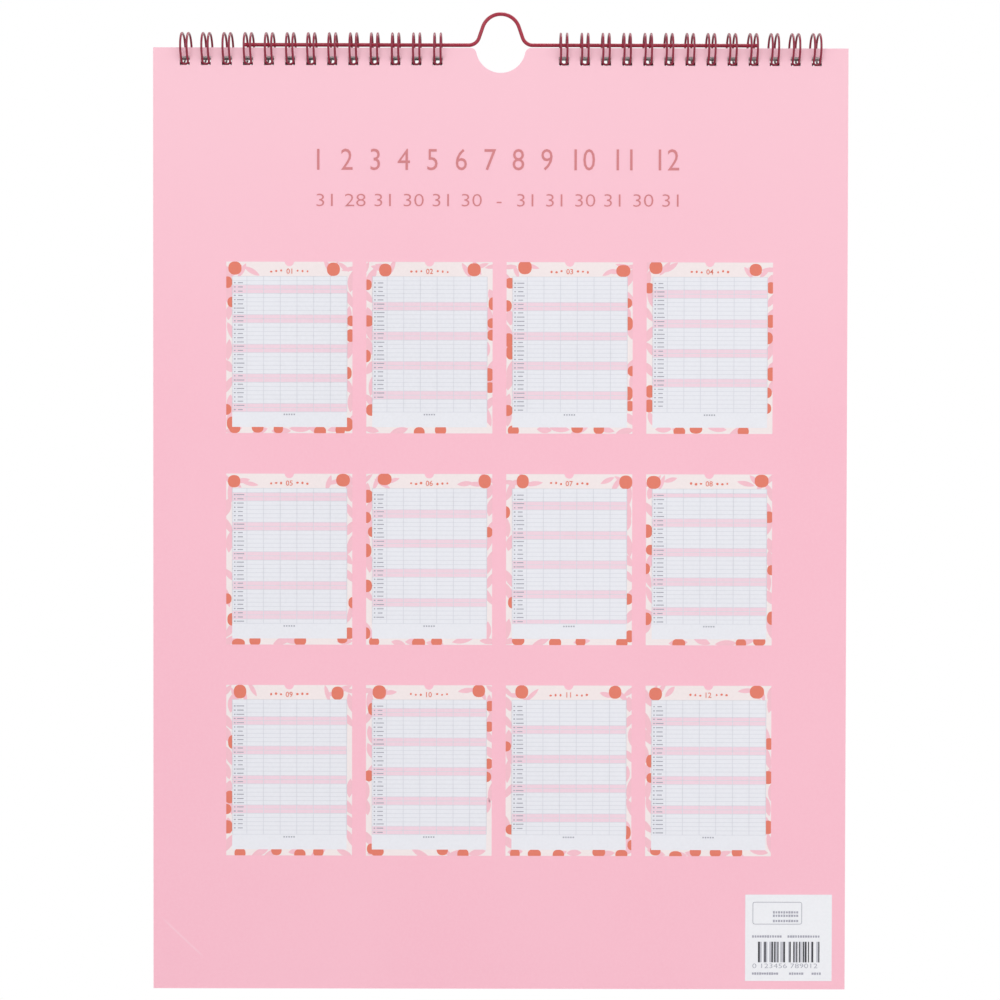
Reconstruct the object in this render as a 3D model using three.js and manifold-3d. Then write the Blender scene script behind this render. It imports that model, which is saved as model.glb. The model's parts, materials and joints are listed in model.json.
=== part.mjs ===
// Wall-hung family planner: two card covers and a block of month pages on twin-loop wire,
// with a thumb notch at the top and a wire hanger threaded through the loops.
// Millimetres. +Z is up, -Y is the printed back of the planner, +Y is its front cover.
// The origin is where a hook carries the planner: under the top of the hanger's hump.

import * as THREE from 'three';
import { mergeVertices } from 'three/addons/utils/BufferGeometryUtils.js';
import Module from 'manifold-3d';

const wasm = await Module();
wasm.setup();

const degrees = Math.PI / 180;

// Sheets
const sheetWidth = 279.4;
const sheetHeight = 379.3;
const coverThickness = 0.4;
const pageBlockThickness = 3.6;
const sheetGap = 0.3;
const notchRadius = 10;
const notchCornerRadius = 2.5;
const notchSteps = 12;

// Twin-loop wire: three double loops to the inch
const loopPitch = 25.4 / 3;
const loopRoom = 2.1;
const legSpacing = 2.55;
const wireDiameter = 0.9;
const rootBendRadius = 0.8;
const wireEndStub = 1.2;
const tailAngle = 46 * degrees;
const loopEdgeMargin = 9;
const loopNotchMargin = 13;
const wireSides = 6;
const legSteps = 14;
const bendSteps = 2;
const tipSteps = 4;

// How the sheets, the loops and the hanger lie together
const loopsAboveSheets = 0.17;
const pagesBehindLoops = 0.3;
const seamClearance = 0.3;
const tipClearance = 0.1;
const tipSetback = 0.45;
const holeSideClearance = 0.275;
const holeTopClearance = 0.3;
const holeBottomClearance = 0.67;
const hangerGap = 0.9;
const loopsAheadOfHanger = 0.5;

// Hanger
const hangerDiameter = 1.5;
const hangerShortBy = 3;
const hangerOverhang = 2.4;
const humpHeight = 12.5;
const humpTopRadius = 7.7;
const humpFootRadius = 4.3;
const humpLean = 19 * degrees;
const hangerSides = 8;
const humpTopSteps = 12;
const humpFootSteps = 5;

// Print on the back cover: twelve small month pages and a label field
const printThickness = 0.1;
const monthColumns = 4;
const monthRows = 3;
const monthWidth = 50.8;
const monthColumnGap = 5.6;
const monthsAside = -0.3;
const monthsBelowTop = 85.9;
const monthsAboveBottom = 53.9;
const gridSideMargin = 2.3;
const gridTopMargin = 5.95;
const gridBottomMargin = 2.5;
const labelSize = 35;
const labelSideMargin = 5.25;
const labelBottomMargin = 3.4;

// Heights, from the hook point down
const hangerZ = hangerDiameter / 2 - humpHeight;
const sheetTopZ = hangerZ - hangerDiameter / 2 - hangerGap;
const loopZ = sheetTopZ + loopsAboveSheets;

// Depths, from the hanger's plane: the seam of the wire lies between the pages and the back cover
const loopY = loopsAheadOfHanger;
const pagesBackY = loopY - pagesBehindLoops;
const seamY = pagesBackY - seamClearance - wireDiameter / 2;
const tipY = seamY - wireDiameter - tipClearance;
const backInnerY = tipY - tipSetback;
const backOuterY = backInnerY - coverThickness;
const pagesFrontY = pagesBackY + pageBlockThickness;
const frontInnerY = pagesFrontY + sheetGap;
const frontOuterY = frontInnerY + coverThickness;

// Loops: round what they hold, with room for the leaves to turn
const farthestFace = Math.max(frontOuterY - loopY, loopY - backOuterY);
const loopRadius = farthestFace + loopRoom;

// Punched holes: as high and low as the loops pass through the sheets, and a little more
const loopInnerRadius = loopRadius - wireDiameter / 2;
const loopOuterRadius = loopRadius + wireDiameter / 2;
const holeTop = loopsAboveSheets - Math.sqrt(loopInnerRadius ** 2 - farthestFace ** 2) + holeTopClearance;
const holeBottom = loopsAboveSheets - loopOuterRadius - holeBottomClearance;
const holeWidth = legSpacing + wireDiameter + 2 * holeSideClearance;

// Which punched positions are used, counted in pitches from the middle of the sheet
const firstLoop = Math.ceil((notchRadius + loopNotchMargin) / loopPitch);
const lastLoop = Math.floor((sheetWidth / 2 - loopEdgeMargin) / loopPitch);
const hangerHalfLength = (lastLoop - hangerShortBy) * loopPitch + hangerOverhang;

function loopCentres(side) {
  const centres = [];
  for (let position = firstLoop; position <= lastLoop; position += 1) {
    centres.push(side * position * loopPitch);
  }
  return centres.sort((a, b) => a - b);
}

// A wire's centre line through a row of stations, with a section at every station.
class WirePath extends THREE.Curve {
  constructor(stations) {
    super();
    this.stations = stations;
    this.steps = stations.length - 1;
  }

  getUtoTmapping(u) {
    return u;
  }

  getPoint(t, target = new THREE.Vector3()) {
    const place = t * this.steps;
    const before = Math.min(Math.floor(place), this.steps - 1);
    return target.lerpVectors(this.stations[before], this.stations[before + 1], place - before);
  }

  getTangent(t, target = new THREE.Vector3()) {
    const here = Math.round(t * this.steps);
    target.set(0, 0, 0);
    for (const start of [here - 1, here]) {
      if (start >= 0 && start < this.steps) {
        const run = this.stations[start + 1].clone().sub(this.stations[start]);
        target.add(run.normalize());
      }
    }
    return target.normalize();
  }
}

function wireGeometry(stations, diameter, sides) {
  const section = new THREE.Shape();
  section.absarc(0, 0, diameter / 2, 0, 2 * Math.PI, false);
  const path = new WirePath(stations);
  return new THREE.ExtrudeGeometry(section, {
    curveSegments: sides / 2,
    steps: path.steps,
    bevelEnabled: false,
    extrudePath: path,
  });
}

// The round of a loop, by the length of wire from its root in the seam: round the front, over
// the top and down the back, and then straight in through the back cover to the tip.
const rootAngle = Math.asin((seamY - loopY) / loopRadius);
const tailStart = 2 * Math.PI - tailAngle;
const roundLength = loopRadius * (tailStart - rootAngle);
const tailLength = (tipY - loopY - loopRadius * Math.sin(tailStart)) / Math.cos(tailStart);
const tipLength = roundLength + tailLength;

function onLoop(x, length) {
  const angle = rootAngle + Math.min(length, roundLength) / loopRadius;
  const past = Math.max(length - roundLength, 0);
  const y = loopY + loopRadius * Math.sin(angle) + past * Math.cos(angle);
  const z = loopZ - loopRadius * Math.cos(angle) + past * Math.sin(angle);
  return new THREE.Vector3(x, y, z);
}

// Stations of one double loop: root bend, leg, rounded tip, leg, root bend.
function doubleLoop(centre) {
  const halfSpacing = legSpacing / 2;
  const legEnd = tipLength - halfSpacing;
  const half = [];
  for (let step = 0; step < bendSteps; step += 1) {
    const turn = (step / bendSteps) * (Math.PI / 2);
    half.push([
      halfSpacing + rootBendRadius * (1 - Math.sin(turn)),
      rootBendRadius * (1 - Math.cos(turn)),
    ]);
  }
  for (let step = 0; step <= legSteps; step += 1) {
    half.push([halfSpacing, THREE.MathUtils.lerp(rootBendRadius, legEnd, step / legSteps)]);
  }
  for (let step = 1; step <= tipSteps / 2; step += 1) {
    const turn = (step / tipSteps) * Math.PI;
    half.push([halfSpacing * Math.cos(turn), legEnd + halfSpacing * Math.sin(turn)]);
  }
  const up = half.map(([offset, length]) => onLoop(centre - offset, length));
  const down = half.slice(0, -1).reverse().map(([offset, length]) => onLoop(centre + offset, length));
  return [...up, ...down];
}

function bindingGeometry(side) {
  const stations = loopCentres(side).flatMap(doubleLoop);
  const first = stations[0].clone();
  const last = stations[stations.length - 1].clone();
  first.x -= wireEndStub;
  last.x += wireEndStub;
  return wireGeometry([first, ...stations, last], wireDiameter, wireSides);
}

// Hanger: straight wire with a bell-shaped hump, round at the top and flared at its feet.
function hangerGeometry() {
  const topCentre = humpHeight - humpTopRadius;
  const flankTop = topCentre + humpTopRadius * Math.sin(humpLean);
  const flankFoot = humpFootRadius * (1 - Math.sin(humpLean));
  const flankRun = (flankTop - flankFoot) * Math.tan(humpLean);
  const footCentre = humpTopRadius * Math.cos(humpLean) + flankRun + humpFootRadius * Math.cos(humpLean);
  const half = [[hangerHalfLength, 0]];
  for (let step = 0; step <= humpFootSteps; step += 1) {
    const turn = (step / humpFootSteps) * (Math.PI / 2 - humpLean);
    half.push([
      footCentre - humpFootRadius * Math.sin(turn),
      humpFootRadius * (1 - Math.cos(turn)),
    ]);
  }
  for (let step = 0; step <= humpTopSteps / 2; step += 1) {
    const turn = THREE.MathUtils.lerp(humpLean, Math.PI / 2, (2 * step) / humpTopSteps);
    half.push([humpTopRadius * Math.cos(turn), topCentre + humpTopRadius * Math.sin(turn)]);
  }
  const left = half.map(([x, z]) => new THREE.Vector3(-x, 0, hangerZ + z));
  const right = half.slice(0, -1).reverse().map(([x, z]) => new THREE.Vector3(x, 0, hangerZ + z));
  return wireGeometry([...left, ...right], hangerDiameter, hangerSides);
}

function solidFrom(geometry) {
  const bare = geometry.clone();
  bare.deleteAttribute('normal');
  bare.deleteAttribute('uv');
  const merged = mergeVertices(bare);
  return new wasm.Manifold(new wasm.Mesh({
    numProp: 3,
    vertProperties: new Float32Array(merged.attributes.position.array),
    triVerts: new Uint32Array(merged.index.array),
  }));
}

function geometryFrom(solid) {
  const mesh = solid.getMesh();
  const geometry = new THREE.BufferGeometry();
  geometry.setAttribute('position', new THREE.BufferAttribute(mesh.vertProperties, 3));
  geometry.setIndex(new THREE.BufferAttribute(mesh.triVerts, 1));
  return geometry;
}

// A sheet's outline with its notch, drawn flat with the top edge on the X axis.
function sheetOutline() {
  const cornerReach = notchRadius + notchCornerRadius;
  const cornerX = Math.sqrt(cornerReach ** 2 - notchCornerRadius ** 2);
  const cornerTurn = Math.asin(notchCornerRadius / cornerReach);
  const outline = new THREE.Shape();
  outline.moveTo(-sheetWidth / 2, -sheetHeight);
  outline.lineTo(sheetWidth / 2, -sheetHeight);
  outline.lineTo(sheetWidth / 2, 0);
  outline.absarc(cornerX, -notchCornerRadius, notchCornerRadius, Math.PI / 2, Math.PI - cornerTurn, false);
  outline.absarc(0, 0, notchRadius, -cornerTurn, cornerTurn - Math.PI, true);
  outline.absarc(-cornerX, -notchCornerRadius, notchCornerRadius, cornerTurn, Math.PI / 2, false);
  outline.lineTo(-sheetWidth / 2, 0);
  return outline;
}

// A notched sheet standing with its front face at frontY, with a square hole at every loop.
function sheetGeometry(thickness, frontY) {
  let solid = solidFrom(standUp(sheetOutline(), thickness, 0, frontY, sheetTopZ));
  for (const centre of [...loopCentres(-1), ...loopCentres(1)]) {
    const punch = new THREE.BoxGeometry(holeWidth, 3 * thickness, holeTop - holeBottom);
    punch.translate(centre, frontY - thickness / 2, sheetTopZ + (holeTop + holeBottom) / 2);
    solid = solid.subtract(solidFrom(punch));
  }
  return geometryFrom(solid);
}

function rectangleOutline(width, height) {
  const outline = new THREE.Shape();
  outline.moveTo(-width / 2, -height);
  outline.lineTo(width / 2, -height);
  outline.lineTo(width / 2, 0);
  outline.lineTo(-width / 2, 0);
  return outline;
}

// Stands a flat outline upright, hanging from (x, z), with its front face at frontY.
function standUp(outline, thickness, x, frontY, z) {
  const geometry = new THREE.ExtrudeGeometry(outline, {
    depth: thickness,
    curveSegments: notchSteps,
    bevelEnabled: false,
  });
  geometry.rotateX(Math.PI / 2);
  geometry.translate(x, frontY, z);
  return geometry;
}

const finishes = {
  coverCard: { color: 0xf9c3d2, roughness: 0.62, metalness: 0 },
  pagePaper: { color: 0xf6f3f2, roughness: 0.75, metalness: 0 },
  coatedWire: { color: 0x96303f, roughness: 0.32, metalness: 0.35 },
  monthPrint: { color: 0xf1cdc6, roughness: 0.6, metalness: 0 },
  gridPrint: { color: 0xecedf4, roughness: 0.6, metalness: 0 },
  labelPrint: { color: 0xecf0f3, roughness: 0.6, metalness: 0 },
};

const planner = new THREE.Group();

function addPiece(name, geometry, finish) {
  const piece = new THREE.Mesh(geometry, new THREE.MeshStandardMaterial(finishes[finish]));
  piece.name = name;
  planner.add(piece);
}

// Sheets
addPiece('back_cover', sheetGeometry(coverThickness, backInnerY), 'coverCard');
addPiece('page_block', sheetGeometry(pageBlockThickness, pagesFrontY), 'pagePaper');
addPiece('front_cover', sheetGeometry(coverThickness, frontOuterY), 'coverCard');

// Wires
addPiece('wire_binding_left', bindingGeometry(-1), 'coatedWire');
addPiece('wire_binding_right', bindingGeometry(1), 'coatedWire');
addPiece('hanger', hangerGeometry(), 'coatedWire');

// Printed fields, thin layers on the back cover: each small page keeps the sheet's proportions
const monthHeight = monthWidth * (sheetHeight / sheetWidth);
const monthColumnPitch = monthWidth + monthColumnGap;
const monthRowsRun = sheetHeight - monthsBelowTop - monthsAboveBottom - monthHeight;
const monthRowPitch = monthRowsRun / (monthRows - 1);
const monthOutline = rectangleOutline(monthWidth, monthHeight);
const gridOutline = rectangleOutline(
  monthWidth - 2 * gridSideMargin,
  monthHeight - gridTopMargin - gridBottomMargin,
);
for (let month = 0; month < monthColumns * monthRows; month += 1) {
  const column = month % monthColumns;
  const row = Math.floor(month / monthColumns);
  const x = monthsAside + (column - (monthColumns - 1) / 2) * monthColumnPitch;
  const z = sheetTopZ - monthsBelowTop - row * monthRowPitch;
  const number = String(month + 1).padStart(2, '0');
  const monthField = standUp(monthOutline, printThickness, x, backOuterY, z);
  const gridField = standUp(gridOutline, printThickness, x, backOuterY - printThickness, z - gridTopMargin);
  addPiece(`month_field_${number}`, monthField, 'monthPrint');
  addPiece(`grid_field_${number}`, gridField, 'gridPrint');
}
const labelX = sheetWidth / 2 - labelSideMargin - labelSize / 2;
const labelTopZ = sheetTopZ - sheetHeight + labelBottomMargin + labelSize;
const labelField = standUp(rectangleOutline(labelSize, labelSize), printThickness, labelX, backOuterY, labelTopZ);
addPiece('label_field', labelField, 'labelPrint');

export default planner;
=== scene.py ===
"""Wall family planner, seen from its printed back.

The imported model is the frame. The script dresses it: two card covers, twelve loose leaves,
twin-loop wire, a wire hanger, the print on the back cover and on the first leaf, and a plain
studio. Sizes are in metres, +Z is up, and the printed back faces -Y.
"""

import json
import math

import bmesh
import bpy
from bpy.props import FloatProperty, FloatVectorProperty, IntProperty, PointerProperty
from mathutils import Euler, Matrix, Vector


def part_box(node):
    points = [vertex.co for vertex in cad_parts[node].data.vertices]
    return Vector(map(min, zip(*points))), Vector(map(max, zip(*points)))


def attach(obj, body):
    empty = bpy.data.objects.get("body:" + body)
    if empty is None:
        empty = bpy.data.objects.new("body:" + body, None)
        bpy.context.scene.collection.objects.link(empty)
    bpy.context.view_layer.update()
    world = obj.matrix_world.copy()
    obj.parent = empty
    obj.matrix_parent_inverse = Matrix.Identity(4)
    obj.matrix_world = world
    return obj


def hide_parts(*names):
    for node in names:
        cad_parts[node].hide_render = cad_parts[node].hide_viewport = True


bl_info = {
    "name": "Wall family planner",
    "version": (1, 0, 0),
    "blender": (4, 5, 0),
    "location": "View3D > Sidebar > Planner",
    "description": "Dresses the packed planner with card, paper, wire, print and a studio",
    "category": "Object",
}

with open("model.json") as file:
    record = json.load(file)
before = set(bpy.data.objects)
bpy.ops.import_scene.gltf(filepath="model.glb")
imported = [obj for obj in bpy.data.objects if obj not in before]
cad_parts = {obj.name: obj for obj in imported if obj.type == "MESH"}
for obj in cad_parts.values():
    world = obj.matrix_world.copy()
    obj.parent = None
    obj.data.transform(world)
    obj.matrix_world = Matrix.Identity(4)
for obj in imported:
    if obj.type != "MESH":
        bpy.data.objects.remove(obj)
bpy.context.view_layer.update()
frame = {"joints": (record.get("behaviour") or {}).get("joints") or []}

MM = 0.001
BACK_LOW, BACK_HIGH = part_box("back_cover")
PAGES_LOW, PAGES_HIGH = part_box("page_block")
FRONT_LOW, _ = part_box("front_cover")
_, HANGER_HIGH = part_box("hanger")
LABEL_LOW, LABEL_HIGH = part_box("label_field")

SHEET_WIDTH = BACK_HIGH.x - BACK_LOW.x
SHEET_HEIGHT = BACK_HIGH.z - BACK_LOW.z
SHEET_TOP = BACK_HIGH.z
CARD = BACK_HIGH.y - BACK_LOW.y

PIVOTS = {joint["name"]: Vector(joint["pos_m"]) for joint in frame["joints"]}
HANGER_AXIS = PIVOTS["planner_swing"]
LOOP_AXIS = PIVOTS["back_cover_turn"]

MONTH_NUMBERS = range(1, 13)
DAYS_IN_MONTH = (31, 28, 31, 30, 31, 30, 31, 31, 30, 31, 30, 31)
FIRST_DAY_OF_YEAR = 4
SATURDAY, SUNDAY = 5, 6
DAYS_IN_WEEK = 7

# A month page's parts, as shares of its width or of its height
MARGIN_LEFT, MARGIN_RIGHT = 0.047, 0.043
DAY_COLUMN = 0.117
HEAD, RULED_END, FOOT = 0.0863, 0.8758, 0.036
SMALL_PAGE_WIDTH = 50.8 * MM

# Ink and paper lie in thin steps on the card, each one step over the last
INK_STEP = 0.02 * MM
PAPER, MOTIF, FIELD, TINT, RULE, MARK = range(1, 7)

# Points of a flat drawing, and ends of wire, that lie this close are one
SAME_POINT = 0.0005 * MM
SAME_END = 0.001 * MM

# Places of the sockets that share their names with others of the node
COLOUR_A, COLOUR_B, MIXED_COLOUR = 6, 7, 2
TRIM_START, TRIM_END = 4, 5
RANDOM_SOCKETS = {"FLOAT_VECTOR": ((0, 1), 0), "FLOAT": ((2, 3), 1), "BOOLEAN": ((6,), 3)}

WHITE = (1, 1, 1, 1)
QUARTER_TURN = math.pi / 2


# ---------------------------------------------------------------- nodes


def is_socket(value):
    return isinstance(value, bpy.types.NodeSocket)


def feed(tree, node, inputs):
    """Links a node's inputs to sockets, and sets the others, by name or by place."""
    for name, value in inputs.items():
        if is_socket(value):
            tree.links.new(value, node.inputs[name])
        else:
            node.inputs[name].default_value = value


def add_node(tree, kind, inputs=None, **settings):
    """A new node in a tree, with its settings and its inputs."""
    made = tree.nodes.new(kind)
    for name, value in settings.items():
        setattr(made, name, value)
    feed(tree, made, inputs or {})
    return made


def result(tree, kind, inputs=None, **settings):
    """The first output of a new node."""
    return add_node(tree, kind, inputs, **settings).outputs[0]


def calculated(tree, operation, first, second=0.0):
    """The socket of one sum on two values."""
    return result(tree, "ShaderNodeMath", {0: first, 1: second}, operation=operation)


def vector_calculated(tree, operation, first, second=(0, 0, 0)):
    """The socket of one sum on two vectors, or of the first one's length."""
    inputs = {0: first, 1: second}
    made = add_node(tree, "ShaderNodeVectorMath", inputs, operation=operation)
    return made.outputs["Value" if operation == "LENGTH" else "Vector"]


def spread_out(tree, value, low, high, to_low=0.0, to_high=1.0, **settings):
    """The socket of a value carried over from one range to another, and kept inside it."""
    limits = {"From Min": low, "From Max": high, "To Min": to_low, "To Max": to_high}
    return result(tree, "ShaderNodeMapRange", {"Value": value, **limits}, **settings)


def noise(tree, place, scale, detail):
    """The socket of a soft noise over a place."""
    inputs = {"Vector": place, "Scale": scale, "Detail": detail}
    return result(tree, "ShaderNodeTexNoise", inputs)


def relief(tree, height, strength, depth):
    """The socket of a surface direction that follows a height."""
    inputs = {"Height": height, "Strength": strength, "Distance": depth}
    return result(tree, "ShaderNodeBump", inputs)


def blended(tree, first, second, factor):
    """The socket of a colour that goes from a first one to a second by a factor."""
    inputs = {"Factor": factor}
    for place, colour in ((COLOUR_A, first), (COLOUR_B, second)):
        inputs[place] = colour if is_socket(colour) else (*colour, 1)
    return add_node(tree, "ShaderNodeMix", inputs, data_type="RGBA").outputs[MIXED_COLOUR]


# ---------------------------------------------------------------- colours and materials


def linear(code):
    """The linear colour of a six-figure sRGB code."""
    channels = [int(code[i : i + 2], 16) / 255 for i in (0, 2, 4)]
    return [c / 12.92 if c <= 0.04045 else ((c + 0.055) / 1.055) ** 2.4 for c in channels]


def shaded(colour, share):
    return [channel * share for channel in colour]


def new_material(name):
    """An empty node material with its shader and its object coordinates."""
    material = bpy.data.materials.new(name)
    material.use_nodes = True
    tree = material.node_tree
    tree.nodes.clear()
    shader = add_node(tree, "ShaderNodeBsdfPrincipled")
    add_node(tree, "ShaderNodeOutputMaterial", {"Surface": shader.outputs["BSDF"]})
    coordinates = add_node(tree, "ShaderNodeTexCoord").outputs["Object"]
    return material, tree, shader, coordinates


def node_of(tree, kind):
    return next(node for node in tree.nodes if node.type == kind)


# Painted light: the card is painted paler, as if more light fell on it, down to here from its top edge
PAINTED_LIGHT_DOWN = 150 * MM

# The crease's ends, in and up from the back's lower corner, and its half width
CREASE_ENDS = ((3 * MM, 29 * MM), (21 * MM, 12 * MM))
CREASE_HALF = 0.6 * MM

# Fibres are short along the sheet and fine through it
FIBRE_SCALE = (1800, 900, 5200)


def paper_material(name, colour, deep=None, roughness=0.6, fibre=0.35):
    """Card or paper: a faint cloudy tone, and fine fibres in its surface."""
    material, tree, shader, place = new_material(name)
    clouds = noise(tree, place, scale=11, detail=3)
    specks = noise(tree, place, scale=900, detail=4)
    both = calculated(tree, "MULTIPLY", clouds, specks)
    cloudy = spread_out(tree, both, low=0.12, high=0.4)
    tone = blended(tree, colour, deep or shaded(colour, share=0.96), cloudy)
    stretch = result(tree, "ShaderNodeMapping", {"Vector": place, "Scale": FIBRE_SCALE})
    fibres = noise(tree, stretch, scale=1, detail=3)
    surface = {"Roughness": roughness, "Specular IOR Level": 0.3}
    surface["Normal"] = relief(tree, fibres, strength=fibre, depth=0.02 * MM)
    feed(tree, shader, {"Base Color": tone, **surface})
    return material


def crease(tree, place):
    """The socket of how worn the card is: one short crease by the back's lower corner."""
    start, end = (Vector((BACK_LOW.x + x, 0, BACK_LOW.z + z)) for x, z in CREASE_ENDS)
    run = end - start
    turn = (0, -math.atan2(run.z, run.x), 0)
    lie = {"Vector": place, "Location": (start + end) / 2, "Rotation": turn}
    mapping = result(tree, "ShaderNodeMapping", lie, vector_type="TEXTURE")
    parts = add_node(tree, "ShaderNodeSeparateXYZ", {"Vector": mapping}).outputs
    along = calculated(tree, "ABSOLUTE", parts["X"])
    across = calculated(tree, "ABSOLUTE", parts["Z"])
    ends = spread_out(tree, along, 0.3 * run.length, 0.5 * run.length, to_low=1, to_high=0)
    sides = spread_out(tree, across, 0, CREASE_HALF, to_low=0.25, to_high=0)
    return calculated(tree, "MULTIPLY", ends, sides)


def card_material(name, colour, deep, pale, worn):
    """Silk-coated card: paper with a soft gloss, painted paler near its top as light from above,
    creased by one corner.
    """
    material = paper_material(name, colour, deep, roughness=0.5, fibre=0.25)
    tree = material.node_tree
    shader = node_of(tree, "BSDF_PRINCIPLED")
    place = node_of(tree, "TEX_COORD").outputs["Object"]
    toned = shader.inputs["Base Color"].links[0].from_socket
    height = add_node(tree, "ShaderNodeSeparateXYZ", {"Vector": place}).outputs["Z"]
    # Painted light: the colour goes paler towards the top edge, where more light falls
    painted_top_light = spread_out(tree, height, SHEET_TOP - PAINTED_LIGHT_DOWN, SHEET_TOP)
    toned = blended(tree, toned, pale, painted_top_light)
    feed(tree, shader, {"Base Color": blended(tree, toned, worn, crease(tree, place))})
    return material


def wire_material(name, colour):
    """Steel wire in a glossy coloured coat, with small waves in the coat."""
    material, tree, shader, place = new_material(name)
    waves = noise(tree, place, scale=700, detail=2)
    coat = {"Roughness": 0.3, "Specular IOR Level": 0.22, "Coat Weight": 0.25, "Coat Roughness": 0.08}
    coat["Base Color"] = blended(tree, colour, shaded(colour, share=0.7), waves)
    coat["Normal"] = relief(tree, waves, strength=0.2, depth=0.05 * MM)
    feed(tree, shader, coat)
    return material


def material_called(name, make, *values):
    """The material of that name, made the first time it is asked for."""
    return bpy.data.materials.get(name) or make(name, *values)


# ---------------------------------------------------------------- meshes and pieces


def in_scene(name, data):
    """A new object in the scene."""
    made = bpy.data.objects.new(name, data)
    bpy.context.scene.collection.objects.link(made)
    return made


def used_up(carrier):
    """The plain mesh of an object with its modifiers applied. The object goes."""
    finished = carrier.evaluated_get(bpy.context.evaluated_depsgraph_get())
    mesh = bpy.data.meshes.new_from_object(finished)
    carrier.modifiers.clear()
    bpy.data.objects.remove(carrier)
    return mesh


def mesh_from(name, points, faces=(), edges=()):
    mesh = bpy.data.meshes.new(name)
    mesh.from_pydata([tuple(p) for p in points], list(edges), list(faces))
    mesh.update()
    return mesh


def chain(name, points):
    """Points joined one after another by edges."""
    return mesh_from(name, points, edges=[(i, i + 1) for i in range(len(points) - 1)])


def arc(centre_x, centre_y, radius, start, end, steps):
    """Points along an arc, both ends with it, by angles in radians."""
    angles = [start + (end - start) * step / steps for step in range(steps + 1)]
    return [(centre_x + radius * math.cos(a), centre_y + radius * math.sin(a)) for a in angles]


def plain_mesh(curve, height):
    """A flat curve or text as a closed mesh, its middle at a height."""
    mesh = used_up(in_scene(curve.name, curve))
    bpy.data.curves.remove(curve)
    mesh.transform(Matrix.Translation((0, 0, height)))
    work = bmesh.new()
    work.from_mesh(mesh)
    bmesh.ops.remove_doubles(work, verts=work.verts, dist=SAME_POINT)
    bmesh.ops.recalc_face_normals(work, faces=work.faces)
    work.to_mesh(mesh)
    work.free()
    return mesh


def flat_solid(name, outlines, low, high):
    """A closed plate between two heights, filled between an outline and the holes in it."""
    curve = bpy.data.curves.new(name, "CURVE")
    curve.dimensions = "2D"
    curve.fill_mode = "BOTH"
    curve.extrude = (high - low) / 2
    for outline in outlines:
        spline = curve.splines.new("POLY")
        spline.points.add(len(outline) - 1)
        spline.use_cyclic_u = True
        for point, (x, y) in zip(spline.points, outline):
            point.co = (x, y, 0, 1)
    return plain_mesh(curve, (high + low) / 2)


def prism(name, outline, low, high):
    """A closed plate of one convex outline."""
    count = len(outline)
    points = [(x, y, low) for x, y in outline] + [(x, y, high) for x, y in outline]
    sides = [(i, (i + 1) % count, count + (i + 1) % count, count + i) for i in range(count)]
    caps = [tuple(reversed(range(count))), tuple(range(count, 2 * count))]
    return mesh_from(name, points, sides + caps)


def box_plate(name, low, high):
    """A square plate one metre wide, to be scaled."""
    return prism(name, [(-0.5, -0.5), (0.5, -0.5), (0.5, 0.5), (-0.5, 0.5)], low, high)


def rounded_plate(name, steps, power, low, high):
    """A plate one metre across, round at power 2 and squarer above it, to be scaled."""
    outline = []
    for step in range(steps):
        turn = 2 * math.pi * step / steps
        x, y = math.cos(turn), math.sin(turn)
        outline.append((
            0.5 * math.copysign(abs(x) ** (2 / power), x),
            0.5 * math.copysign(abs(y) ** (2 / power), y),
        ))
    return prism(name, outline, low, high)


def leaf_plate(name, low, high):
    """A pointed leaf one metre long and a third as wide, to be scaled."""
    half = math.radians(37)
    radius = 0.5 / math.sin(half)
    drop = radius * math.cos(half)
    upper = arc(0, -drop, radius, QUARTER_TURN - half, QUARTER_TURN + half, 8)
    lower = arc(0, drop, radius, 3 * QUARTER_TURN - half, 3 * QUARTER_TURN + half, 8)
    return prism(name, upper[:-1] + lower[:-1], low, high)


def trimmed(mesh, low, high):
    """Cuts closed plates off at a rectangle, and closes the cuts."""
    work = bmesh.new()
    work.from_mesh(mesh)
    for axis in (0, 1):
        for limit, side in ((low[axis], -1), (high[axis], 1)):
            place, outwards = Vector(), Vector()
            place[axis], outwards[axis] = limit, side
            whole = [*work.verts, *work.edges, *work.faces]
            cut = bmesh.ops.bisect_plane(
                work, geom=whole, plane_co=place, plane_no=outwards, clear_outer=True
            )
            rim = [part for part in cut["geom_cut"] if isinstance(part, bmesh.types.BMEdge)]
            bmesh.ops.holes_fill(work, edges=rim)
    bmesh.ops.recalc_face_normals(work, faces=work.faces)
    work.to_mesh(mesh)
    work.free()
    return mesh


def facing(front, x, y, z):
    """Lays a flat drawing on the planner's front or back, its own origin at a place."""
    turn = Matrix.Rotation(QUARTER_TURN, 4, "X")
    if front:
        turn = Matrix.Rotation(math.pi, 4, "Z") @ turn
    return Matrix.Translation((x, y, z)) @ turn


def moved(mesh, matrix):
    mesh.transform(matrix)
    return mesh


def laid(mesh, x, y, width=1, height=1):
    """A plate on the drawing plane, scaled and then put at a place."""
    return moved(mesh, Matrix.Translation((x, y, 0)) @ Matrix.Diagonal((width, height, 1, 1)))


def joined(name, meshes):
    """One mesh from several, which are used up."""
    work = bmesh.new()
    for mesh in meshes:
        work.from_mesh(mesh)
        bpy.data.meshes.remove(mesh)
    whole = bpy.data.meshes.new(name)
    work.to_mesh(whole)
    work.free()
    return whole


def piece(name, mesh, material, body, slot, nodes=()):
    """A finished piece: one mesh at the origin, riding on a body of the frame."""
    mesh.materials.clear()
    mesh.materials.append(material)
    made = in_scene(name, mesh)
    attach(made, body)
    if nodes:
        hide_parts(*nodes)
    return made


# ---------------------------------------------------------------- geometry node trees


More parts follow.
